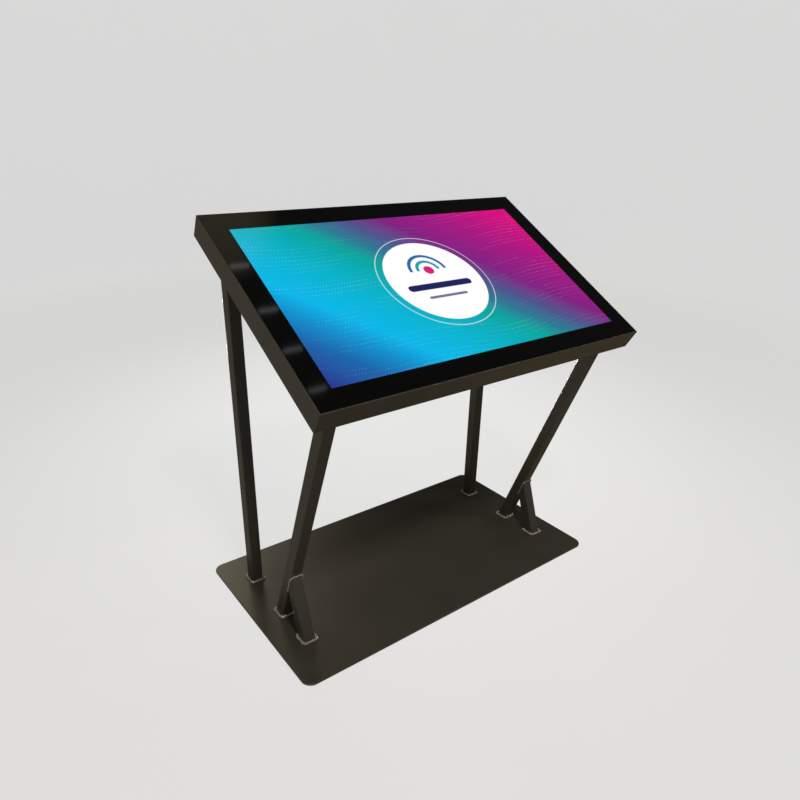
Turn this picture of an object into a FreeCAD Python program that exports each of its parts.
import FreeCAD, Part
import math
import os
import re

import Sketcher

# Touchscreen kiosk: a 43 inch display lying at a reading slope on a welded steel tube stand.
# Row frame: X to the user's right, Y away from the user, Z up; the origin is under the middle
# of the whole kiosk, on the floor. Parts of the sloping display head are drawn in the head's own
# frame: across it, up its slope and out of its glass, from the middle of the front top edge.

# Every driving size, in millimetres and degrees.
SIZES = {
    # display head
    "tilt": 30, "head_wide": 1060, "head_long": 650, "head_deep": 60,
    "head_front": -343.5, "head_height": 790,
    "wall": 2.5, "sheet": 2, "fit_gap": 0.5, "fold": 1.2,
    "shelf_wide": 30, "shelf_depth": 5, "flange_wide": 17.5, "flange_depth": 58,
    "glass_thick": 4, "tape_wide": 24,
    # stand
    "plate_wide": 1100, "plate_long": 610, "plate_thick": 6, "plate_corner": 30, "plate_back": 343.5,
    "pad_thick": 1, "pad_radius": 20, "pad_inset": 45,
    "tube": 35, "tube_wall": 2, "tube_corner": 3, "leg_centre": 460.5,
    "rear_foot": 198.5, "front_foot": 3.5, "front_lean": 20.8,
    "brace_foot": -129.5, "brace_lean": 19.5,
    "bead": 5, "bead_slope": 4.2,
    "bar_wide": 60, "bar_thick": 6, "bar_start": 15, "bar_end": 642,
    "stiffener_start": 25, "stiffener_end": 622, "stiffener_thick": 4,
    "bolt_radius": 4, "bolt_hole": 4.5, "bolt_spare": 2, "bolt_start": 130, "bolt_pitch": 135,
    "washer_radius": 8, "washer_thick": 1.6, "hex_radius": 7.5, "hex_high": 5.3, "nut_high": 6.5,
    # rear panel
    "screw_radius": 2, "screw_hole": 2.2, "screw_head": 3.8, "screw_head_high": 2.2,
    "screw_length": 6, "screw_edge": 10, "cross_long": 2, "cross_thin": 0.4, "cross_deep": 1,
    "bay_half": 200, "bay_low": 170, "bay_high": 430,
    "fan_across": 300, "fan_up": 470, "slot_wide": 5, "slot_long": 64, "slot_pitch": 9,
    "intake_up": 90, "intake_pitch": 14, "speaker_across": 330, "speaker_up": 95,
    "inlet_across": 340, "inlet_up": 575, "inlet_hole_wide": 30, "inlet_hole_long": 48,
    "socket_across": 275, "socket_up": 540, "socket_hole": 18,
    # display
    "cell_wide": 966, "cell_long": 554, "cell_thick": 2, "cell_top": 5.2, "cell_gap": 0.3,
    "tray_wide": 972, "tray_long": 560, "tray_back": 17.5, "tray_skin": 2, "tray_ledge": 5,
    "guide_inset": 6, "guide_gap": 1,
    "rail_across": 350, "rail_wide": 40, "shelf_back": 7, "rail_thick": 2, "rail_end": 5, "rail_gap": 4,
    # equipment plate and what it carries
    "mount_half": 370, "mount_low": 150, "mount_high": 450,
    "pc_left": -175, "pc_right": -5, "pc_low": 215, "pc_high": 335, "pc_thick": 32,
    "fin_edge": 7, "fin_groove": 4, "fin_pitch": 9, "fin_deep": 6,
    "port_low": -40, "port_high": -34, "port_deep": 4,
    "button_across": -26, "button_up": 236, "button_radius": 5, "button_gap": 0.3, "button_deep": 5,
    "button_proud": 1.5, "button_long": 4.5, "button_round": 0.6,
    "supply_left": 15, "supply_right": 175, "supply_low": 215, "supply_high": 315, "supply_thick": 30,
    "supply_slot_wide": 3, "supply_slot_long": 38, "supply_slot_pitch": 6, "supply_slot_deep": 1.5,
    "terminal_wide": 12, "terminal_deep": 16, "terminal_edge": 6,
    "barrier_wide": 10, "barrier_thick": 2, "barrier_pitch": 10, "barrier_high": 14,
    "spacer_high": 5, "spacer_radius": 2.5, "spacer_inset": 5, "board_thick": 1.6,
    # leads
    "lead_radius": 3.5, "thin_lead": 2.5, "mains_level": -42, "mains_across": 225, "mains_bend": 20,
    "terminal_up": 265, "supply_level": -44, "supply_up": 245, "video_level": -37, "video_bend": 8,
    "touch_level": -31, "touch_up": 260, "short_bend": 1,
    "clip_wide": 14, "clip_long": 10, "clip_skin": 3,
    # fans
    "fan_size": 80, "fan_thick": 25, "fan_bore": 37.5, "hub_radius": 16, "spin_radius": 1.5,
    "run_gap": 0.05, "strut_wide": 6, "strut_thick": 3, "strut_bite": 1, "seat_high": 5,
    "fan_screw_edge": 4.5, "hub_start": 1.5, "hub_end": 19, "shaft_start": 18, "shaft_long": 5,
    "blade_reach": 35.5, "blade_pitch": 35, "blade_middle": 11, "half_chord": 8.5,
    "half_blade": 0.9, "blade_bite": 1,
    # loudspeakers
    "speaker_wide": 90, "speaker_long": 76, "speaker_deep": 32, "cone_across": 21,
    "cone_mouth": 17, "cone_throat": 8, "cone_deep": 7, "cap_radius": 6, "cap_start": 5, "cap_high": 3,
    # mains inlet and rocker
    "inlet_wide": 42, "inlet_long": 62, "inlet_lip": 3, "moulding_wide": 28, "moulding_long": 46,
    "moulding_deep": 26, "well_half": 12.2, "well_low": -20, "well_high": -3, "well_deep": 18,
    "switch_half": 11.2, "switch_low": 3, "switch_high": 17, "switch_deep": 11,
    "pin_wide": 2, "pin_long": 4, "pin_start": -1, "pin_high": 16.5,
    "rocker_up": 10, "rocker_in": -1, "rocker_wide": 21, "rocker_rest": -8,
    "spindle": 1.2, "spindle_long": 25, "spindle_bore": 25.4,
    # network socket
    "socket_face": 24, "socket_lip": 2, "socket_block": 17.6, "socket_long": 24, "socket_deep": 16,
    "contact_pitch": 1.02, "contact_start": 2, "contact_long": 11,
    # service door, hinge and lock
    "door_half": 212, "door_low": 158, "door_high": 446, "door_gap": 0.5, "door_corner": 6,
    "rib_across": 165, "rib_wide": 10, "rib_high": 4, "rib_low": 200, "rib_top": 418,
    "door_slots_up": 350,
    "pivot_up": 452, "pivot_deep": 63, "knuckle": 2.6, "pin_radius": 1.2,
    "leaf_thick": 1.2, "leaf_long": 20, "leaf_clear": 3.1, "leaf_bite": 1,
    "knuckle_long": 19, "knuckle_pitch": 20,
    "lock_up": 187, "barrel_radius": 8, "barrel_long": 6.5, "barrel_rim": 3, "rim_thick": 1.5,
    "nut_rim": 4, "lock_nut_high": 3, "plug_radius": 6, "plug_start": -1.8, "plug_long": 8.8,
    "key_wide": 1.6, "key_long": 8, "key_deep": 6,
    "cam_start": 7, "cam_thick": 2, "cam_long": 27, "cam_half": 6, "cam_screw": 3, "cam_screw_high": 1.5,
}

SIDES = (("left", -1), ("right", 1))

document = FreeCAD.newDocument("TouchscreenKiosk")
dims = document.addObject("Spreadsheet::Sheet", "dims")


def fill_sheet():
    """Writes every driving size into the sheet, one row each, under its own alias."""
    for row, (alias, size) in enumerate(SIZES.items(), start=1):
        dims.set("A%d" % row, alias.replace("_", " "))
        dims.set("B%d" % row, str(size))
        dims.setAlias("B%d" % row, alias)
    document.recompute()


def formula(text):
    """A formula with each sheet name written the way FreeCAD looks it up."""
    def look_up(word):
        return "dims." + word.group() if word.group() in SIZES else word.group()

    return re.sub(r"[a-z_]+", look_up, str(text))


def number(text):
    """The present value of a formula over the sheet."""
    return float(dims.evalExpression(formula(text)))


def vector(x, y, z):
    return FreeCAD.Vector(x, y, z)


# ---- sketches and features ----------------------------------------------------------------------

def new_body(label):
    body = document.addObject("PartDesign::Body", label)
    body.Label = label
    return body


def sketch_on(body, role, offset="0"):
    """An empty sketch on one of the body's own origin planes, moved along the plane's normal."""
    sketch = body.newObject("Sketcher::SketchObject", body.Name + "_sketch")
    plane = next(item for item in body.Origin.OriginFeatures if item.Role == role)
    sketch.AttachmentSupport = [(plane, "")]
    sketch.MapMode = "FlatFace"
    sketch.setExpression("AttachmentOffset.Base.z", formula(offset))
    return sketch


def constrain(sketch, kind, geometry, point, text, name):
    """Holds one coordinate of a point to a formula."""
    index = sketch.addConstraint(Sketcher.Constraint(kind, geometry, point, number(text)))
    sketch.renameConstraint(index, name)
    sketch.setExpression("Constraints." + name, formula(text))


def letter(count):
    """A short word for a running count: aa, ab, ac and so on."""
    return chr(97 + count // 26) + chr(97 + count % 26)


def draw_polygon(sketch, corners):
    """Closed outline through corners given as pairs of formulas."""
    points = [vector(number(across), number(up), 0) for across, up in corners]
    first = sketch.GeometryCount
    for index, point in enumerate(points):
        sketch.addGeometry(Part.LineSegment(point, points[(index + 1) % len(points)]), False)
    for index, (across, up) in enumerate(corners):
        line = first + index
        following = first + (index + 1) % len(points)
        sketch.addConstraint(Sketcher.Constraint("Coincident", line, 2, following, 1))
        constrain(sketch, "DistanceX", line, 1, across, "across_" + letter(line))
        constrain(sketch, "DistanceY", line, 1, up, "up_" + letter(line))


def draw_rectangle(sketch, left, low, right, high):
    draw_polygon(sketch, [(left, low), (right, low), (right, high), (left, high)])


def draw_circle(sketch, across, up, radius):
    centre = vector(number(across), number(up), 0)
    circle = sketch.addGeometry(Part.Circle(centre, vector(0, 0, 1), number(radius)), False)
    constrain(sketch, "DistanceX", circle, 3, across, "across_" + letter(circle))
    constrain(sketch, "DistanceY", circle, 3, up, "up_" + letter(circle))
    index = sketch.addConstraint(Sketcher.Constraint("Radius", circle, number(radius)))
    sketch.renameConstraint(index, "radius_" + letter(circle))
    sketch.setExpression("Constraints.radius_" + letter(circle), formula(radius))


def pad(body, sketch, length, both=False, back=False):
    """Adds the sketch's material, along the plane's normal, both ways or backwards."""
    feature = body.newObject("PartDesign::Pad", body.Name + "_pad")
    feature.Profile = sketch
    feature.SideType = "Symmetric" if both else "One side"
    feature.Reversed = back
    feature.setExpression("Length", formula(length))
    document.recompute()
    return feature


def pocket(body, sketch, length, both=False, up=False):
    """Cuts the sketch out, against the plane's normal, along it (up) or both ways."""
    before = body.Shape.Volume
    feature = body.newObject("PartDesign::Pocket", body.Name + "_pocket")
    feature.Profile = sketch
    feature.SideType = "Symmetric" if both else "One side"
    feature.Reversed = up
    feature.setExpression("Length", formula(length))
    document.recompute()
    if not body.Shape.Volume < before:
        raise ValueError("a pocket in %s takes nothing away" % body.Label)
    return feature


def pad_block(body, box, start, height, back=False):
    """Block standing on the level that start names: box is left, low, right and high."""
    sketch = sketch_on(body, "XY_Plane", start)
    draw_rectangle(sketch, *box)
    return pad(body, sketch, height, back=back)


def cut_block(body, box, start, height):
    """Removes a block that rises from the level start."""
    sketch = sketch_on(body, "XY_Plane", start)
    draw_rectangle(sketch, *box)
    return pocket(body, sketch, height, up=True)


def pad_disc(body, centre, radius, start, height):
    sketch = sketch_on(body, "XY_Plane", start)
    draw_circle(sketch, centre[0], centre[1], radius)
    return pad(body, sketch, height)


def cut_disc(body, centre, radius, start, height):
    sketch = sketch_on(body, "XY_Plane", start)
    draw_circle(sketch, centre[0], centre[1], radius)
    return pocket(body, sketch, height, up=True)


def repeat(body, feature, axis, length, count):
    """Linear pattern of one feature along its sketch's H_Axis or V_Axis."""
    pattern = body.newObject("PartDesign::LinearPattern", body.Name + "_row")
    pattern.Originals = [feature]
    pattern.Direction = (feature.Profile[0], [axis])
    pattern.setExpression("Length", formula(length))
    pattern.Occurrences = count
    body.Tip = pattern
    document.recompute()
    return pattern


def edges_where(shape, wanted):
    return ["Edge%d" % (index + 1) for index, edge in enumerate(shape.Edges) if wanted(edge)]


def dress(body, kind, wanted, size):
    """Rounds (Fillet) or bevels (Chamfer) the edges of the body's last feature that are wanted."""
    base = body.Tip
    feature = body.newObject("PartDesign::" + kind, body.Name + "_" + kind.lower())
    feature.Base = (base, edges_where(base.Shape, wanted))
    feature.setExpression("Radius" if kind == "Fillet" else "Size", formula(size))
    document.recompute()
    return feature


def runs_along(edge, direction):
    """True for a straight edge parallel to a direction."""
    if not isinstance(edge.Curve, Part.Line):
        return False
    return abs(edge.tangentAt(edge.FirstParameter).dot(direction)) > 1 - 1e-6


def at_level(edge, height):
    """True for an edge that lies wholly at one height of its body."""
    box = edge.BoundBox
    return abs(box.ZMin - height) < 1e-4 and abs(box.ZMax - height) < 1e-4


# ---- placing ------------------------------------------------------------------------------------

def seat(part, across="0", up="0", out="0", turn="0"):
    """Puts a part on the sloping head: across it, up its slope and out of its glass."""
    part.Placement = FreeCAD.Placement(vector(0, 0, 0), FreeCAD.Rotation(vector(1, 0, 0), 1))
    part.setExpression("Placement.Base.x", formula(across))
    part.setExpression("Placement.Base.y",
                       formula("head_front + (%s) * cos(tilt) - (%s) * sin(tilt)" % (up, out)))
    part.setExpression("Placement.Base.z",
                       formula("head_height + (%s) * sin(tilt) + (%s) * cos(tilt)" % (up, out)))
    part.setExpression("Placement.Rotation.Angle", formula("tilt + (%s)" % turn))


def stand_at(part, across):
    """Moves a part of the stand sideways in the row frame."""
    part.setExpression("Placement.Base.x", formula(across))


def compound(label, copies):
    """Alike things as separate solids in one feature; copies pairs each master with its place."""
    shapes = []
    for master, spot in copies:
        shape = master.Shape.copy()
        shape.Placement = spot
        shapes.append(shape)
    feature = document.addObject("Part::Feature", label)
    feature.Shape = Part.makeCompound(shapes)
    feature.Label = label
    return feature


def group(label, master, spots):
    """One fastener at several places worked out from the sheet."""
    return compound(label, [(master, spot) for spot in spots])


def head_spot(across, up, out, turn=0.0):
    """Placement of a thing on the head, from plain numbers."""
    tilt = math.radians(number("tilt"))
    base = vector(across, number("head_front") + up * math.cos(tilt) - out * math.sin(tilt),
                  number("head_height") + up * math.sin(tilt) + out * math.cos(tilt))
    return FreeCAD.Placement(base, FreeCAD.Rotation(vector(1, 0, 0), number("tilt") + turn))


# ---- stand --------------------------------------------------------------------------------------

FLOOR_PLATE_TOP = "(pad_thick + plate_thick)"


def base_plate():
    body = new_body("base_plate")
    box = ("-plate_wide / 2", "plate_back - plate_long", "plate_wide / 2", "plate_back")
    pad_block(body, box, "pad_thick", "plate_thick")
    dress(body, "Fillet", lambda edge: runs_along(edge, vector(0, 0, 1)), "plate_corner")
    top = number(FLOOR_PLATE_TOP)
    dress(body, "Fillet", lambda edge: at_level(edge, top), "fold")
    return body


def floor_pads():
    pad_master = new_body("pad_master")
    pad_disc(pad_master, ("0", "0"), "pad_radius", "0", "pad_thick")
    reach = number("plate_wide / 2 - pad_inset")
    near = number("plate_back - plate_long + pad_inset")
    far = number("plate_back - pad_inset")
    spots = []
    for across in (-reach, -reach / 3, reach / 3, reach):
        for along in (near, (near + far) / 2, far):
            spots.append(FreeCAD.Placement(vector(across, along, 0), FreeCAD.Rotation()))
    return group("floor_pads", pad_master, spots)


def face_height(foot, lean):
    """Formula: how far up a leaning face from the plate the mounting bar's underside is."""
    drop = "(-head_deep - bar_thick)"
    fore_aft = "((%s) - head_front)" % foot
    level = "(%s - head_height)" % FLOOR_PLATE_TOP
    return "((%s + sin(tilt) * %s - cos(tilt) * %s) / cos(tilt - (%s)))" % (drop, fore_aft, level, lean)


def on_face(foot, lean, run):
    """Formulas for the point a given run up a face that leans forward by lean."""
    return ("((%s) - (%s) * sin(%s))" % (foot, run, lean),
            "(%s + (%s) * cos(%s))" % (FLOOR_PLATE_TOP, run, lean))


def square_tube(label, outer, inner, lean_formula):
    """Hollow square tube from its side view: outer is its outline, inner its bore's."""
    body = new_body(label)
    side_view = sketch_on(body, "YZ_Plane")
    draw_polygon(side_view, outer)
    pad(body, side_view, "tube", both=True)
    lean = math.radians(number(lean_formula))
    axis = vector(0, -math.sin(lean), math.cos(lean))
    dress(body, "Fillet", lambda edge: runs_along(edge, axis), "tube_corner")
    bore_view = sketch_on(body, "YZ_Plane")
    draw_polygon(bore_view, inner)
    pocket(body, bore_view, "tube - 2 * tube_wall", both=True)
    return body


def leg(label, side, foot, lean):
    """Leg that stands on the base plate and is mitred to the underside of its mounting bar."""
    thick = "tube / cos(%s)" % lean
    skin = "tube_wall / cos(%s)" % lean
    outer = []
    inner = []
    for edge, inset in ((foot, skin), ("(%s + %s)" % (foot, thick), "-" + skin)):
        outer.append((on_face(edge, lean, "0"), on_face(edge, lean, face_height(edge, lean))))
        line = "(%s + %s)" % (edge, inset)
        inner.append((on_face(line, lean, "-tube"),
                      on_face(line, lean, face_height(line, lean) + " + tube")))
    ordered = [[pairs[0][0], pairs[1][0], pairs[1][1], pairs[0][1]] for pairs in (outer, inner)]
    body = square_tube(label, ordered[0], ordered[1], lean)
    stand_at(body, "leg_centre * %d" % side)
    return body


def brace_face(foot):
    """Formula: how far up a brace's face the front leg's front face is."""
    gap = "(front_foot - (%s))" % foot
    return "(%s * cos(front_lean) / sin(brace_lean + front_lean))" % gap


def front_brace(label, side):
    """Short brace in front of the front leg, cut to lie against the leg's front face."""
    thick = "tube / cos(brace_lean)"
    skin = "tube_wall / cos(brace_lean)"
    lean = "-brace_lean"
    back = "(brace_foot + %s)" % thick
    bore_front = "(brace_foot + %s)" % skin
    bore_back = "(%s - %s)" % (back, skin)
    outer = [on_face("brace_foot", lean, "0"), on_face(back, lean, "0"),
             on_face(back, lean, brace_face(back)), on_face("brace_foot", lean, brace_face("brace_foot"))]
    inner = [on_face(bore_front, lean, "-tube"), on_face(bore_back, lean, "-tube"),
             on_face(bore_back, lean, brace_face(bore_back) + " + tube"),
             on_face(bore_front, lean, brace_face(bore_front) + " + tube")]
    body = square_tube(label, outer, inner, lean)
    stand_at(body, "leg_centre * %d" % side)
    return body


def weld_master(label, lean):
    """Fillet weld round a tube that stands on a flat face and leans by lean towards -Y."""
    body = new_body(label)
    half = "(tube / cos(%s) / 2)" % lean
    rim = "(%s + bead)" % half
    box = ("-tube / 2 - bead", "-" + rim, "tube / 2 + bead", rim)
    pad_block(body, box, "0", "bead")
    top = number("bead")
    dress(body, "Chamfer", lambda edge: at_level(edge, top), "bead_slope")
    low_shift = "(1 * tan(%s))" % lean
    high_shift = "((bead + 1) * tan(%s))" % lean
    side_view = sketch_on(body, "YZ_Plane")
    draw_polygon(side_view, [("-%s + %s" % (half, low_shift), "-1"), ("%s + %s" % (half, low_shift), "-1"),
                             ("%s - %s" % (half, high_shift), "bead + 1"),
                             ("-%s - %s" % (half, high_shift), "bead + 1")])
    pocket(body, side_view, "tube", both=True)
    return body


def foot_welds():
    """The six fillet welds where tubes meet the base plate."""
    rows = (("rear_foot", "0", "rear_bead"), ("front_foot", "front_lean", "front_bead"),
            ("brace_foot", "-brace_lean", "brace_bead"))
    copies = []
    for foot, lean, name in rows:
        master = weld_master(name, lean)
        middle = number("%s + tube / cos(%s) / 2" % (foot, lean))
        for _, side in SIDES:
            place = vector(side * number("leg_centre"), middle, number(FLOOR_PLATE_TOP))
            copies.append((master, FreeCAD.Placement(place, FreeCAD.Rotation())))
    return compound("foot_welds", copies)


def half_way(near, far):
    """Middle of two points of the side view, each a pair of formulas."""
    first, last = [vector(0, number(along), number(up)) for along, up in (near, far)]
    return (first + last) * 0.5


def on_both_sides(master, middle, turn):
    """The master on the left and on the right leg, turned about the X axis."""
    copies = []
    for _, side in SIDES:
        place = middle + vector(side * number("leg_centre"), 0, 0)
        copies.append((master, FreeCAD.Placement(place, FreeCAD.Rotation(vector(1, 0, 0), turn))))
    return copies


def brace_welds():
    """The welds where the braces meet the front legs."""
    master = weld_master("joint_bead", "(90 - front_lean - brace_lean)")
    ends = []
    for edge in ("brace_foot", "(brace_foot + tube / cos(brace_lean))"):
        ends.append(on_face(edge, "-brace_lean", brace_face(edge)))
    return compound("brace_welds", on_both_sides(master, half_way(*ends), 90 + number("front_lean")))


def bar_welds():
    """The welds where the four legs meet the undersides of the mounting bars."""
    copies = []
    rows = (("rear_foot", "0", "rear_top_bead"), ("front_foot", "front_lean", "front_top_bead"))
    for foot, lean, name in rows:
        master = weld_master(name, "(%s - tilt)" % lean)
        ends = []
        for edge in (foot, "(%s + tube / cos(%s))" % (foot, lean)):
            ends.append(on_face(edge, lean, face_height(edge, lean)))
        copies += on_both_sides(master, half_way(*ends), 180 + number("tilt"))
    return compound("bar_welds", copies)


BOLT_COUNT = 4


def drill_bolt_holes(body, centre, start, thick):
    """Row of clearance holes for the frame bolts of one side."""
    hole = cut_disc(body, (centre, "bolt_start"), "bolt_hole", start, thick)
    return repeat(body, hole, "V_Axis", "bolt_pitch * %d" % (BOLT_COUNT - 1), BOLT_COUNT)


def mounting_bar(label, side):
    """Flat bar welded across the tops of one side's two legs."""
    body = new_body(label)
    pad_block(body, ("-bar_wide / 2", "bar_start", "bar_wide / 2", "bar_end"), "0", "bar_thick")
    drill_bolt_holes(body, "0", "0", "bar_thick")
    seat(body, across="leg_centre * %d" % side, out="-head_deep - bar_thick")
    return body


def stiffener(label, side):
    """Flat bar inside the head that the frame bolts clamp the rear panel to."""
    body = new_body(label)
    pad_block(body, ("-bar_wide / 2", "stiffener_start", "bar_wide / 2", "stiffener_end"), "0",
              "stiffener_thick")
    drill_bolt_holes(body, "0", "0", "stiffener_thick")
    seat(body, across="leg_centre * %d" % side, out="-head_deep + sheet")
    return body


def hexagon(sketch, radius):
    corners = []
    for step in range(6):
        corners.append(("%s * cos(%d)" % (radius, 60 * step), "%s * sin(%d)" % (radius, 60 * step)))
    draw_polygon(sketch, corners)


def bolt_spots(out):
    spots = []
    for _, side in SIDES:
        for step in range(BOLT_COUNT):
            up = number("bolt_start + bolt_pitch * %d" % step)
            spots.append(head_spot(side * number("leg_centre"), up, out))
    return spots


def frame_fasteners():
    """Hex bolts, washers and nuts that hold the head on its mounting bars."""
    bolt = new_body("bolt_master")
    head = sketch_on(bolt, "XY_Plane", "-hex_high")
    hexagon(head, "hex_radius")
    pad(bolt, head, "hex_high")
    shank = "washer_thick + bar_thick + sheet + stiffener_thick + nut_high + bolt_spare"
    pad_disc(bolt, ("0", "0"), "bolt_radius", "0", shank)
    washer = new_body("washer_master")
    ring = sketch_on(washer, "XY_Plane")
    draw_circle(ring, "0", "0", "washer_radius")
    draw_circle(ring, "0", "0", "bolt_hole")
    pad(washer, ring, "washer_thick")
    nut = new_body("nut_master")
    outline = sketch_on(nut, "XY_Plane")
    hexagon(outline, "hex_radius")
    draw_circle(outline, "0", "0", "bolt_radius + run_gap")
    pad(nut, outline, "nut_high")
    under_bar = number("-head_deep - bar_thick - washer_thick")
    return [group("frame_bolts", bolt, bolt_spots(under_bar)),
            group("frame_washers", washer, bolt_spots(under_bar)),
            group("frame_nuts", nut, bolt_spots(number("-head_deep + sheet + stiffener_thick")))]


# ---- head casing --------------------------------------------------------------------------------

def inset_box(inset):
    """Head outline drawn in by a margin on all four sides."""
    across = "head_wide / 2 - (%s)" % inset
    return ("-(%s)" % across, inset, across, "head_long - (%s)" % inset)


def housing_frame():
    """Folded steel tray: four walls, a shelf for the glass and a flange for the rear panel."""
    body = new_body("housing_frame")
    pad_block(body, inset_box("0"), "-head_deep", "head_deep")
    dress(body, "Fillet", lambda edge: at_level(edge, 0), "fold")
    cut_block(body, inset_box("wall"), "-shelf_depth", "shelf_depth")
    cut_block(body, inset_box("wall + shelf_wide"), "-head_deep", "head_deep")
    cut_block(body, inset_box("wall"), "-flange_depth + sheet", "flange_depth - sheet - shelf_back")
    cut_block(body, inset_box("flange_wide"), "-head_deep", "head_deep - shelf_back")
    cut_block(body, inset_box("wall"), "-head_deep", "head_deep - flange_depth")
    holes = sketch_on(body, "XY_Plane", "-flange_depth")
    for across, up in screw_places():
        draw_circle(holes, across, up, "screw_hole")
    pocket(body, holes, "sheet", up=True)
    seat(body)
    return body


SCREW_ROWS = 5


def screw_places():
    """Formulas for the rear panel screws: along both sides, then along the front and back."""
    places = []
    for step in range(SCREW_ROWS):
        up = "screw_edge + (head_long - 2 * screw_edge) * %d / %d" % (step, SCREW_ROWS - 1)
        for _, side in SIDES:
            places.append(("(head_wide / 2 - screw_edge) * %d" % side, up))
    for step in range(1, SCREW_ROWS + 1):
        across = "(head_wide - 2 * screw_edge) * (%d / %d - 0.5)" % (step, SCREW_ROWS + 1)
        for up in ("screw_edge", "head_long - screw_edge"):
            places.append((across, up))
    return places


def across_box(wide, long, across="0", up="0"):
    """Outline of a given width and length about a centre."""
    return ("(%s) - (%s) / 2" % (across, wide), "(%s) - (%s) / 2" % (up, long),
            "(%s) + (%s) / 2" % (across, wide), "(%s) + (%s) / 2" % (up, long))


FAN_SLOTS = 8
INTAKE_SLOTS = 22
DOOR_SLOTS = 18


def slot_row(body, across, up, count, pitch, start):
    """Row of straight slots through a sheet, side by side about a centre."""
    first = "(%s) - (%s) * %d / 2" % (across, pitch, count - 1)
    slot = cut_block(body, across_box("slot_wide", "slot_long", first, up), start, "sheet")
    repeat(body, slot, "H_Axis", "(%s) * %d" % (pitch, count - 1), count)


def rear_panel():
    """Sheet that closes the underside, with the service opening, vents and socket cut-outs."""
    body = new_body("rear_panel")
    pad_block(body, inset_box("wall + fit_gap"), "-head_deep", "sheet")
    cut_block(body, ("-bay_half", "bay_low", "bay_half", "bay_high"), "-head_deep", "sheet")
    for _, side in SIDES:
        for across, up in (("fan_across", "fan_up"), ("speaker_across", "speaker_up")):
            slot_row(body, "%s * %d" % (across, side), up, FAN_SLOTS, "slot_pitch", "-head_deep")
        drill_bolt_holes(body, "leg_centre * %d" % side, "-head_deep", "sheet")
    slot_row(body, "0", "intake_up", INTAKE_SLOTS, "intake_pitch", "-head_deep")
    inlet_hole = across_box("inlet_hole_wide", "inlet_hole_long", "inlet_across", "inlet_up")
    cut_block(body, inlet_hole, "-head_deep", "sheet")
    socket_hole = across_box("socket_hole", "socket_hole", "socket_across", "socket_up")
    cut_block(body, socket_hole, "-head_deep", "sheet")
    holes = sketch_on(body, "XY_Plane", "-head_deep")
    for across, up in screw_places():
        draw_circle(holes, across, up, "screw_hole")
    pocket(body, holes, "sheet", up=True)
    seat(body)
    return body


def rear_panel_screws():
    """Pan-head screws, each with a cross recess, along the rear panel's edge."""
    screw = new_body("screw_master")
    pad_disc(screw, ("0", "0"), "screw_head", "-screw_head_high", "screw_head_high")
    dress(screw, "Fillet", lambda edge: at_level(edge, number("-screw_head_high")), "screw_head_high / 2")
    pad_disc(screw, ("0", "0"), "screw_radius", "0", "screw_length")
    for wide, long in (("2 * cross_long", "2 * cross_thin"), ("2 * cross_thin", "2 * cross_long")):
        cut_block(screw, across_box(wide, long), "-screw_head_high", "cross_deep")
    spots = []
    for across, up in screw_places():
        spots.append(head_spot(number(across), number(up), number("-head_deep")))
    return group("rear_panel_screws", screw, spots)


def touch_glass():
    body = new_body("touch_glass")
    pad_block(body, inset_box("wall + fit_gap"), "-glass_thick", "glass_thick")
    dress(body, "Chamfer", lambda edge: at_level(edge, 0), "fit_gap")
    seat(body)
    return body


def glass_tape():
    """Foam tape between the glass and its shelf."""
    body = new_body("glass_tape")
    ring = sketch_on(body, "XY_Plane", "-shelf_depth")
    draw_rectangle(ring, *inset_box("wall + fit_gap"))
    draw_rectangle(ring, *inset_box("wall + fit_gap + tape_wide"))
    pad(body, ring, "shelf_depth - glass_thick")
    seat(body)
    return body


# ---- display and electronics --------------------------------------------------------------------

def centred(wide, long, slack="0"):
    """Outline centred on the head's length."""
    return ("-(%s) / 2 - %s" % (wide, slack), "head_long / 2 - (%s) / 2 - %s" % (long, slack),
            "(%s) / 2 + %s" % (wide, slack), "head_long / 2 + (%s) / 2 + %s" % (long, slack))


def lcd_cell():
    body = new_body("lcd_cell")
    pad_block(body, centred("cell_wide", "cell_long"), "-cell_top - cell_thick", "cell_thick")
    seat(body)
    return body


def backlight_tray():
    """Pressed steel tray behind the display cell, hollow for the light guide."""
    body = new_body("backlight_tray")
    pad_block(body, centred("tray_wide", "tray_long"), "-tray_back", "tray_back - cell_top")
    cut_block(body, centred("cell_wide", "cell_long", "cell_gap"), "-cell_top - cell_thick", "cell_thick")
    hollow = centred("cell_wide - 2 * tray_ledge", "cell_long - 2 * tray_ledge")
    cut_block(body, hollow, "-tray_back + tray_skin", "tray_back - tray_skin - cell_top - cell_thick")
    seat(body)
    return body


def light_guide():
    body = new_body("light_guide")
    pad_block(body, centred("cell_wide - 2 * guide_inset", "cell_long - 2 * guide_inset"),
              "-tray_back + tray_skin", "tray_back - tray_skin - cell_top - cell_thick - guide_gap")
    seat(body)
    return body


def display_rail(label, side):
    """Hat-section rail that hangs from the glass shelf and holds the display from behind."""
    body = new_body(label)
    low = "wall + fit_gap + rail_end"
    high = "head_long - (%s)" % low
    step_low = "head_long / 2 - tray_long / 2 - rail_gap"
    step_high = "head_long / 2 + tray_long / 2 + rail_gap"
    side_view = sketch_on(body, "YZ_Plane")
    draw_polygon(side_view, [
        (low, "-shelf_back"), (step_low, "-shelf_back"), (step_low, "-tray_back"),
        (step_high, "-tray_back"), (step_high, "-shelf_back"), (high, "-shelf_back"),
        (high, "-shelf_back - rail_thick"), (step_high + " + rail_thick", "-shelf_back - rail_thick"),
        (step_high + " + rail_thick", "-tray_back - rail_thick"),
        (step_low + " - rail_thick", "-tray_back - rail_thick"),
        (step_low + " - rail_thick", "-shelf_back - rail_thick"), (low, "-shelf_back - rail_thick")])
    pad(body, side_view, "rail_wide", both=True)
    seat(body, across="rail_across * %d" % side)
    return body


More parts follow.
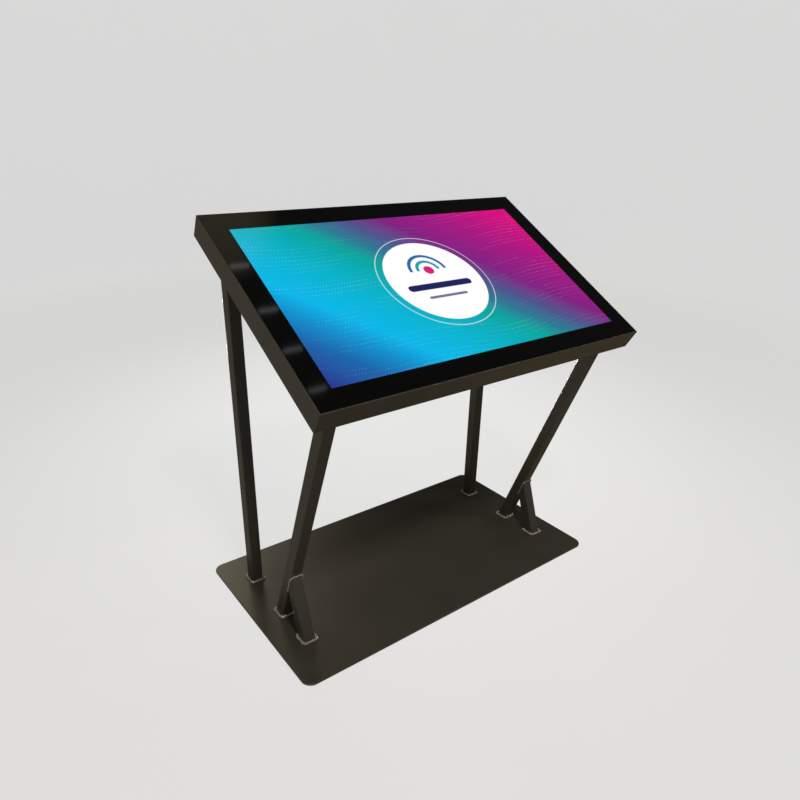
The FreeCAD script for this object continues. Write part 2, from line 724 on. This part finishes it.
PLATE_BACK = "(tray_back + 2 * rail_thick)"


def equipment_plate():
    """Plate across both display rails that carries the computer, supply and boards."""
    body = new_body("equipment_plate")
    box = ("-mount_half", "mount_low", "mount_half", "mount_high")
    pad_block(body, box, "-" + PLATE_BACK, "rail_thick")
    dress(body, "Fillet", lambda edge: runs_along(edge, vector(0, 0, 1)), "door_corner")
    seat(body)
    return body


PORT_PLACES = ((258, 266), (272, 280), (318, 330))
FIN_GROOVES = 13


def mini_pc():
    """Fanless computer: finned case with a socket field and a bore for the power button."""
    body = new_body("mini_pc")
    back = "-%s - pc_thick" % PLATE_BACK
    pad_block(body, ("pc_left", "pc_low", "pc_right", "pc_high"), back, "pc_thick")
    dress(body, "Fillet", lambda edge: runs_along(edge, vector(0, 0, 1)), "tube_corner")
    first = ("pc_left + fin_edge", "pc_low + fin_edge",
             "pc_left + fin_edge + fin_groove", "pc_high - fin_edge")
    groove = cut_block(body, first, back, "fin_deep")
    repeat(body, groove, "H_Axis", "fin_pitch * %d" % (FIN_GROOVES - 1), FIN_GROOVES)
    cut_disc(body, ("button_across", "button_up"), "button_radius + button_gap", back, "button_deep")
    for low, high in PORT_PLACES:
        port = sketch_on(body, "YZ_Plane", "pc_right")
        draw_rectangle(port, str(low), "port_low", str(high), "port_high")
        pocket(body, port, "port_deep")
    seat(body)
    return body


def power_button():
    """Button that stands out of the computer's case and is pushed in against a spring."""
    body = new_body("power_button")
    back = "-%s - pc_thick - button_proud" % PLATE_BACK
    pad_disc(body, ("button_across", "button_up"), "button_radius", back, "button_long")
    dress(body, "Fillet", lambda edge: at_level(edge, number(back)), "button_round")
    seat(body)
    return body


SUPPLY_SLOTS = 21
SUPPLY_SLOT_ROWS = (224, 268)
SUPPLY_SLOT_LEFT = 26
BARRIERS = 9


def power_supply():
    """Enclosed power supply with ventilation slots and a terminal strip."""
    body = new_body("power_supply")
    back = "-%s - supply_thick" % PLATE_BACK
    pad_block(body, ("supply_left", "supply_low", "supply_right", "supply_high"), back, "supply_thick")
    for low in SUPPLY_SLOT_ROWS:
        box = (str(SUPPLY_SLOT_LEFT), str(low), "%d + supply_slot_wide" % SUPPLY_SLOT_LEFT,
               "%d + supply_slot_long" % low)
        slot = cut_block(body, box, back, "supply_slot_deep")
        repeat(body, slot, "H_Axis", "supply_slot_pitch * %d" % (SUPPLY_SLOTS - 1), SUPPLY_SLOTS)
    strip = ("supply_right - terminal_wide", "supply_low + terminal_edge", "supply_right",
             "supply_high - terminal_edge")
    cut_block(body, strip, back, "terminal_deep")
    right = "supply_right - (terminal_wide - barrier_wide) / 2"
    low = "supply_low + terminal_edge + 3"
    barrier = pad_block(body, (right + " - barrier_wide", low, right, low + " + barrier_thick"),
                        back + " + terminal_deep - barrier_high", "barrier_high")
    repeat(body, barrier, "V_Axis", "barrier_pitch * %d" % (BARRIERS - 1), BARRIERS)
    seat(body)
    return body


def circuit_board(label, box, chips):
    """Board on four spacers; each chip is left, low, right, high and how far it stands out."""
    body = new_body(label)
    left, low, right, high = box
    top = "-%s - spacer_high" % PLATE_BACK
    pad_block(body, [str(edge) for edge in box], top + " - board_thick", "board_thick")
    for across in ("%d + spacer_inset" % left, "%d - spacer_inset" % right):
        for up in ("%d + spacer_inset" % low, "%d - spacer_inset" % high):
            pad_disc(body, (across, up), "spacer_radius", top, "spacer_high")
    for chip in chips:
        proud = str(chip[4])
        pad_block(body, [str(edge) for edge in chip[:4]], "%s - board_thick - %s" % (top, proud), proud)
    seat(body)
    return body


def display_board():
    chips = ((-150, 364, -130, 384, 2), (-118, 366, -104, 380, 1.2), (-96, 362, -84, 396, 1.4),
             (-76, 370, -62, 384, 1.2), (-48, 372, -31, 388, 7), (-160, 392, -140, 400, 5),
             (-128, 390, -112, 400, 6), (-56, 392, -44, 402, 5))
    return circuit_board("display_board", (-170, 355, -30, 405), chips)


def touch_board():
    chips = ((-272, 246, -258, 260, 1.2), (-250, 250, -240, 262, 1.4), (-224, 254, -211, 266, 6),
             (-286, 268, -262, 276, 3))
    return circuit_board("touch_board", (-290, 240, -210, 280), chips)


def hold_path(sketch, points, radius):
    """Open path of straight runs joined by arcs of one radius."""
    corners = [vector(number(across), number(up), 0) for across, up in points]
    bend = number(radius)
    start = corners[0]
    for index in range(1, len(corners) - 1):
        inward = (corners[index - 1] - corners[index]).normalize()
        onward = (corners[index + 1] - corners[index]).normalize()
        first = corners[index] + inward * bend
        last = corners[index] + onward * bend
        middle = corners[index] + (inward + onward) * bend * (1 - math.sqrt(0.5))
        sketch.addGeometry(Part.LineSegment(start, first), False)
        sketch.addGeometry(Part.Arc(first, middle, last), False)
        start = last
    sketch.addGeometry(Part.LineSegment(start, corners[-1]), False)
    for index in range(sketch.GeometryCount):
        sketch.addConstraint(Sketcher.Constraint("Block", index))


def lead(label, points, level, radius, bend):
    """Round lead that starts along the X axis and keeps one level over the rear panel."""
    body = new_body(label)
    spine = sketch_on(body, "XY_Plane", level)
    hold_path(spine, points, bend)
    document.recompute()
    section = sketch_on(body, "YZ_Plane", points[0][0])
    draw_circle(section, points[0][1], level, radius)
    pipe = body.newObject("PartDesign::AdditivePipe", label + "_pipe")
    pipe.Profile = section
    pipe.Spine = (spine, ["Edge%d" % (index + 1) for index in range(spine.GeometryCount)])
    document.recompute()
    seat(body)
    return body


def leads():
    """The leads inside the head, each held at both ends and clipped on the way."""
    mains_path = [("inlet_across - moulding_wide / 2", "inlet_up"), ("mains_across", "inlet_up"),
                  ("mains_across", "terminal_up"), ("supply_right + 1", "terminal_up")]
    supply_path = [("supply_left", "supply_up"), ("pc_right", "supply_up")]
    video_path = [("-30", "380"), ("5", "380"), ("5", "324"), ("-8", "324")]
    touch_path = [("-210", "touch_up"), ("pc_left", "touch_up")]
    return [
        lead("mains_lead", mains_path, "mains_level", "lead_radius", "mains_bend"),
        lead("supply_lead", supply_path, "supply_level", "thin_lead", "short_bend"),
        lead("video_lead", video_path, "video_level", "thin_lead", "video_bend"),
        lead("touch_lead", touch_path, "touch_level", "thin_lead", "short_bend"),
    ]


CLIP_PLACES = (300, 360, 420)


def lead_clips():
    """Blocks on the equipment plate that hold the mains lead."""
    clip = new_body("clip_master")
    low = "-lead_radius - clip_skin"
    high = "-%s - mains_level - (%s)" % (PLATE_BACK, low)
    pad_block(clip, across_box("clip_wide", "clip_long"), low, high)
    bore = sketch_on(clip, "XZ_Plane")
    draw_circle(bore, "0", "0", "lead_radius + run_gap")
    pocket(clip, bore, "2 * clip_long", both=True)
    spots = [head_spot(number("mains_across"), up, number("mains_level")) for up in CLIP_PLACES]
    return group("lead_clips", clip, spots)


# ---- fans, speakers and sockets -----------------------------------------------------------------

FAN_BLADES = 7


def fan_frame(label, side):
    """Square fan housing with a motor seat on four struts."""
    body = new_body(label)
    pad_block(body, across_box("fan_size", "fan_size"), "0", "fan_thick")
    dress(body, "Fillet", lambda edge: runs_along(edge, vector(0, 0, 1)), "door_corner")
    cut_disc(body, ("0", "0"), "fan_bore", "0", "fan_thick")
    strut_low = "fan_thick - strut_thick"
    strut_long = "2 * (fan_bore + strut_bite)"
    for wide, long in ((strut_long, "strut_wide"), ("strut_wide", strut_long)):
        pad_block(body, across_box(wide, long), strut_low, "strut_thick")
    pad_disc(body, ("0", "0"), "hub_radius", "fan_thick - seat_high", "seat_high")
    cut_disc(body, ("0", "0"), "spin_radius + run_gap", "fan_thick - seat_high", "seat_high")
    for across in (-1, 1):
        for up in (-1, 1):
            centre = ["%d * (fan_size / 2 - fan_screw_edge)" % sign for sign in (across, up)]
            cut_disc(body, centre, "screw_hole", "0", "fan_thick")
    seat(body, across="fan_across * %d" % side, up="fan_up", out="-head_deep + sheet")
    return body


def fan_rotor(label, side):
    """Fan hub, shaft and blades."""
    body = new_body(label)
    pad_disc(body, ("0", "0"), "hub_radius", "hub_start", "hub_end - hub_start")
    hub_face = number("hub_start")
    dress(body, "Fillet", lambda edge: at_level(edge, hub_face), "fold")
    pad_disc(body, ("0", "0"), "spin_radius", "shaft_start", "shaft_long")
    blade_view = sketch_on(body, "YZ_Plane", "hub_radius - blade_bite")
    corners = []
    for along, over in ((-1, -1), (1, -1), (1, 1), (-1, 1)):
        across = "%d * half_chord * sin(blade_pitch) - %d * half_blade * cos(blade_pitch)" % (along, over)
        up = "%d * half_chord * cos(blade_pitch) + %d * half_blade * sin(blade_pitch)" % (along, over)
        corners.append((across, "blade_middle + " + up))
    draw_polygon(blade_view, corners)
    blade = pad(body, blade_view, "blade_reach - hub_radius + blade_bite")
    ring = body.newObject("PartDesign::PolarPattern", body.Name + "_ring")
    ring.Originals = [blade]
    turn_axis = next(item for item in body.Origin.OriginFeatures if item.Role == "Z_Axis")
    ring.Axis = (turn_axis, [""])
    ring.Angle = 360
    ring.Occurrences = FAN_BLADES
    body.Tip = ring
    document.recompute()
    seat(body, across="fan_across * %d" % side, up="fan_up", out="-head_deep + sheet")
    return body


def fan_screws():
    """Eight screws that hold the two fans to the rear panel's inner face, heads uppermost."""
    screw = new_body("fan_screw_master")
    pad_disc(screw, ("0", "0"), "screw_head", "0", "screw_head_high")
    pad_disc(screw, ("0", "0"), "screw_radius", "-fan_thick", "fan_thick")
    reach = number("fan_size / 2 - fan_screw_edge")
    spots = []
    for _, side in SIDES:
        for across in (-reach, reach):
            for up in (-reach, reach):
                spots.append(head_spot(side * number("fan_across") + across, number("fan_up") + up,
                                       number("-head_deep + sheet + fan_thick")))
    return group("fan_screws", screw, spots)


def speaker(label, side):
    """Flat loudspeaker in a sealed box, its cone facing the slots in the rear panel."""
    body = new_body(label)
    pad_block(body, across_box("speaker_wide", "speaker_long"), "0", "speaker_deep")
    dress(body, "Fillet", lambda edge: runs_along(edge, vector(0, 0, 1)), "door_corner")
    for across in ("-cone_across", "cone_across"):
        cone = body.newObject("PartDesign::SubtractiveCone", body.Name + "_cone")
        cone.setExpression("Radius1", formula("cone_mouth"))
        cone.setExpression("Radius2", formula("cone_throat"))
        cone.setExpression("Height", formula("cone_deep"))
        cone.Placement = FreeCAD.Placement(vector(number(across), 0, 0), FreeCAD.Rotation())
        document.recompute()
        pad_disc(body, (across, "0"), "cap_radius", "cap_start", "cap_high")
    seat(body, across="speaker_across * %d" % side, up="speaker_up", out="-head_deep + sheet")
    return body


INLET_PINS = ((-7, -13.5), (0, -9.5), (7, -13.5))


def mains_inlet():
    """Appliance inlet with three pins and a switch well, in one flanged moulding."""
    body = new_body("mains_inlet")
    pad_block(body, across_box("inlet_wide", "inlet_long"), "-inlet_lip", "inlet_lip")
    dress(body, "Fillet", lambda edge: runs_along(edge, vector(0, 0, 1)), "tube_corner")
    pad_block(body, across_box("moulding_wide", "moulding_long"), "0", "moulding_deep")
    cut_block(body, ("-well_half", "well_low", "well_half", "well_high"), "-inlet_lip", "well_deep")
    switch_well = ("-switch_half", "switch_low", "switch_half", "switch_high")
    cut_block(body, switch_well, "-inlet_lip", "switch_deep")
    for across, up in INLET_PINS:
        pad_block(body, across_box("pin_wide", "pin_long", across, up), "pin_start", "pin_high")
    pivot = sketch_on(body, "YZ_Plane")
    draw_circle(pivot, "rocker_up", "rocker_in", "spindle + run_gap")
    pocket(body, pivot, "spindle_bore", both=True)
    seat(body, across="inlet_across", up="inlet_up", out="-head_deep")
    return body


# side view of the rocker from its spindle: along the key, and up into the moulding
ROCKER_OUTLINE = ((-5.9, -3.6), (0, -2.8), (5.9, -3.6), (5.6, 1.5), (2, 4), (-2, 4), (-5.6, 1.5))


def rocker_switch():
    """Mains rocker: a bent key that rocks about its own middle, resting on its off side."""
    body = new_body("rocker_switch")
    side_view = sketch_on(body, "YZ_Plane")
    draw_polygon(side_view, ROCKER_OUTLINE)
    pad(body, side_view, "rocker_wide", both=True)
    pivot = sketch_on(body, "YZ_Plane")
    draw_circle(pivot, "0", "0", "spindle")
    pad(body, pivot, "spindle_long", both=True)
    seat(body, across="inlet_across", up="inlet_up + rocker_up", out="-head_deep + rocker_in",
         turn="rocker_rest")
    return body


# the plug's well and its latch notch, then the first contact, as left, low, right and high
SOCKET_WELLS = (("-6", "-4.5", "6", "4"), ("-3", "4", "3", "6.5"))
FIRST_CONTACT = ("-3.8", "-4.8", "-3.4", "-3.6")
CONTACTS = 8


def network_socket():
    """Eight-way network coupler with a latch notch, flush in the rear panel."""
    body = new_body("network_socket")
    pad_block(body, across_box("socket_face", "socket_face"), "-socket_lip", "socket_lip")
    pad_block(body, across_box("socket_block", "socket_block"), "0", "socket_long")
    for well in SOCKET_WELLS:
        cut_block(body, well, "-socket_lip", "socket_deep")
    contact = pad_block(body, FIRST_CONTACT, "contact_start", "contact_long")
    repeat(body, contact, "H_Axis", "contact_pitch * %d" % (CONTACTS - 1), CONTACTS)
    seat(body, across="socket_across", up="socket_up", out="-head_deep")
    return body


# ---- service door -------------------------------------------------------------------------------

DOOR_OUT = "(head_deep + door_gap + sheet)"


def service_door():
    """Flat door over the service opening, with vent slots and two stiffening ribs."""
    body = new_body("service_door")
    pad_block(body, ("-door_half", "door_low", "door_half", "door_high"), "-" + DOOR_OUT, "sheet")
    dress(body, "Fillet", lambda edge: runs_along(edge, vector(0, 0, 1)), "door_corner")
    for _, side in SIDES:
        middle = "rib_across * %d" % side
        rib = (middle + " - rib_wide / 2", "rib_low", middle + " + rib_wide / 2", "rib_top")
        pad_block(body, rib, "-%s + sheet" % DOOR_OUT, "rib_high")
    slot_row(body, "0", "door_slots_up", DOOR_SLOTS, "intake_pitch", "-" + DOOR_OUT)
    cut_disc(body, ("0", "lock_up"), "barrel_radius", "-" + DOOR_OUT, "sheet")
    seat(body)
    return body


KNUCKLES = 10


def hinge_leaf(label, on_door):
    """One leaf of the piano hinge, with every other knuckle; its origin is the hinge line."""
    body = new_body(label)
    half = "(knuckle_pitch * %d)" % KNUCKLES
    first = "-%s + (knuckle_pitch - knuckle_long) / 2%s" % (half, " + knuckle_pitch" if on_door else "")
    start = "(pivot_deep - head_deep - leaf_thick)"
    flat = ("-" + half, "leaf_clear", half, "leaf_long")
    tab = (first, "0", first + " + knuckle_long", "leaf_clear + leaf_bite")
    if on_door:
        start = "(pivot_deep - %s - leaf_thick)" % DOOR_OUT
        flat = ("-" + half, "-leaf_long", half, "-leaf_clear")
        tab = (first, "-leaf_clear - leaf_bite", first + " + knuckle_long", "0")
    pad_block(body, flat, start, "leaf_thick")
    arm = pad_block(body, tab, start, "leaf_thick")
    repeat(body, arm, "H_Axis", "knuckle_pitch * %d" % (2 * KNUCKLES - 2), KNUCKLES)
    roll_view = sketch_on(body, "YZ_Plane", first)
    draw_circle(roll_view, "0", "0", "knuckle")
    roll = pad(body, roll_view, "knuckle_long")
    rolls = body.newObject("PartDesign::LinearPattern", body.Name + "_rolls")
    rolls.Originals = [roll]
    rolls.Direction = (arm.Profile[0], ["H_Axis"])
    rolls.setExpression("Length", formula("knuckle_pitch * %d" % (2 * KNUCKLES - 2)))
    rolls.Occurrences = KNUCKLES
    body.Tip = rolls
    document.recompute()
    bore = sketch_on(body, "YZ_Plane")
    draw_circle(bore, "0", "0", "pin_radius + run_gap")
    pocket(body, bore, "%s * 2 + knuckle_pitch" % half, both=True)
    seat(body, up="pivot_up", out="-pivot_deep")
    return body


def hinge_pin():
    body = new_body("hinge_pin")
    section = sketch_on(body, "YZ_Plane")
    draw_circle(section, "0", "0", "pin_radius")
    pad(body, section, "knuckle_pitch * %d" % (2 * KNUCKLES), both=True)
    seat(body, up="pivot_up", out="-pivot_deep")
    return body


def lock_body():
    """Barrel of the cam lock, with its flange outside the door."""
    body = new_body("lock_body")
    pad_disc(body, ("0", "0"), "barrel_radius + barrel_rim", "-rim_thick", "rim_thick")
    outer_face = number("-rim_thick")
    dress(body, "Fillet", lambda edge: at_level(edge, outer_face), "fold / 2")
    pad_disc(body, ("0", "0"), "barrel_radius", "0", "barrel_long")
    cut_disc(body, ("0", "0"), "plug_radius + run_gap", "-rim_thick", "rim_thick + barrel_long")
    seat(body, up="lock_up", out="-" + DOOR_OUT)
    return body


def lock_nut():
    body = new_body("lock_nut")
    outline = sketch_on(body, "XY_Plane")
    hexagon(outline, "(barrel_radius + nut_rim)")
    draw_circle(outline, "0", "0", "barrel_radius")
    pad(body, outline, "lock_nut_high")
    seat(body, up="lock_up", out="-%s + sheet" % DOOR_OUT)
    return body


def lock_plug():
    """Key plug with its key slot."""
    body = new_body("lock_plug")
    pad_disc(body, ("0", "0"), "plug_radius", "plug_start", "plug_long")
    cut_block(body, across_box("key_wide", "key_long"), "plug_start", "key_deep")
    seat(body, up="lock_up", out="-" + DOOR_OUT)
    return body


def lock_cam():
    """Cam bar on the inner end of the plug, lying along the door at rest."""
    body = new_body("lock_cam")
    pad_block(body, ("-cam_half", "-cam_half", "cam_long", "cam_half"), "cam_start", "cam_thick")
    dress(body, "Fillet", lambda edge: runs_along(edge, vector(0, 0, 1)), "cam_half / 2")
    pad_disc(body, ("0", "0"), "cam_screw", "cam_start + cam_thick", "cam_screw_high")
    seat(body, up="lock_up", out="-" + DOOR_OUT)
    return body


# ---- assembly -----------------------------------------------------------------------------------

def build():
    """Every sub-part of the kiosk, in the row frame."""
    fill_sheet()
    parts = [base_plate(), floor_pads()]
    for name, side in SIDES:
        parts.append(leg("rear_leg_" + name, side, "rear_foot", "0"))
        parts.append(leg("front_leg_" + name, side, "front_foot", "front_lean"))
        parts.append(front_brace("front_brace_" + name, side))
        parts.append(mounting_bar("mounting_bar_" + name, side))
        parts.append(stiffener("stiffener_" + name, side))
    parts += [foot_welds(), brace_welds(), bar_welds()]
    parts += frame_fasteners()
    parts += [housing_frame(), rear_panel(), rear_panel_screws(), touch_glass(), glass_tape()]
    parts += [lcd_cell(), backlight_tray(), light_guide(), equipment_plate()]
    parts += [mini_pc(), power_button(), power_supply(), display_board(), touch_board()]
    parts += leads() + [lead_clips(), fan_screws()]
    for name, side in SIDES:
        parts.append(display_rail("display_rail_" + name, side))
        parts.append(fan_frame("fan_frame_" + name, side))
        parts.append(fan_rotor("fan_rotor_" + name, side))
        parts.append(speaker("speaker_" + name, side))
    parts += [mains_inlet(), rocker_switch(), network_socket(), service_door()]
    parts += [hinge_leaf("hinge_leaf_panel", False), hinge_leaf("hinge_leaf_door", True), hinge_pin()]
    parts += [lock_body(), lock_nut(), lock_plug(), lock_cam()]
    return parts


def check_and_write(parts):
    """Stops on any feature in error or any bad shape, then writes one STEP file per sub-part."""
    document.recompute()
    for item in document.Objects:
        if "Invalid" in item.State or "Error" in item.State:
            raise ValueError("%s is %s" % (item.Name, item.State))
    os.makedirs("parts", exist_ok=True)
    for part in parts:
        if part.Shape.isNull() or not part.Shape.isValid():
            raise ValueError("%s has no valid shape" % part.Label)
        part.Shape.exportStep("parts/%s.step" % part.Label)
        print("%-20s %2d solids %12.1f mm3" % (part.Label, len(part.Shape.Solids), part.Shape.Volume))


check_and_write(build())
